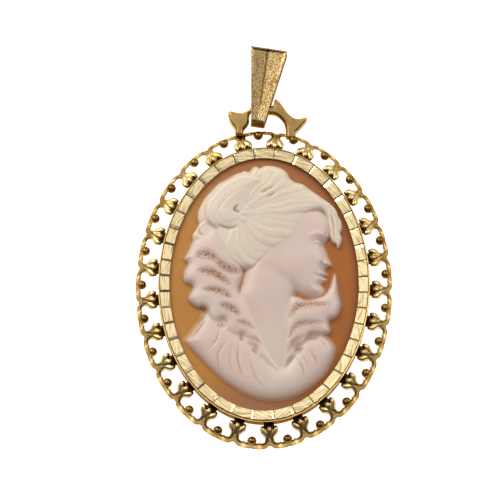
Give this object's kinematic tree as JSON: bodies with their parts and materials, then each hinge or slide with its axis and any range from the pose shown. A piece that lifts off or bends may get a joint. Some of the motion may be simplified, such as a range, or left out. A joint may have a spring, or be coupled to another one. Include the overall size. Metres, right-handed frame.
{
  "type": "portrait cameo pendant",
  "caption": "Oval portrait pendant: a carved shell cameo held in a gold openwork mount, hung from a tapered bail that swings.",
  "frame": {"origin": "centre of the whole pendant's box on the surface that its back rests on, with the bail laid straight up", "axes": "+X to the right of the carved face, +Y up it towards the bail, +Z out of it"},
  "size_m": [0.0321, 0.0512, 0.0054],
  "materials": {
    "gold_setting": "cast and engraved yellow gold, polished high points with dark recesses",
    "carved_shell": "carved and polished helmet shell, cream and pink figure on an amber-brown ground",
    "gold_bail": "yellow gold with a bark-textured panel and a bright border"
  },
  "bodies": {
    "pendant": {"setting": "gold_setting", "cameo": "carved_shell"},
    "bail": {"bail": "gold_bail"}
  },
  "joints": [
    {"name": "bail_swing", "type": "hinge", "parent": "pendant", "child": "bail", "pos_m": [-0.0005, 0.01763, 0.0014], "axis": [0.9976, -0.0698, 0], "range_deg": [-105, 120]}
  ]
}
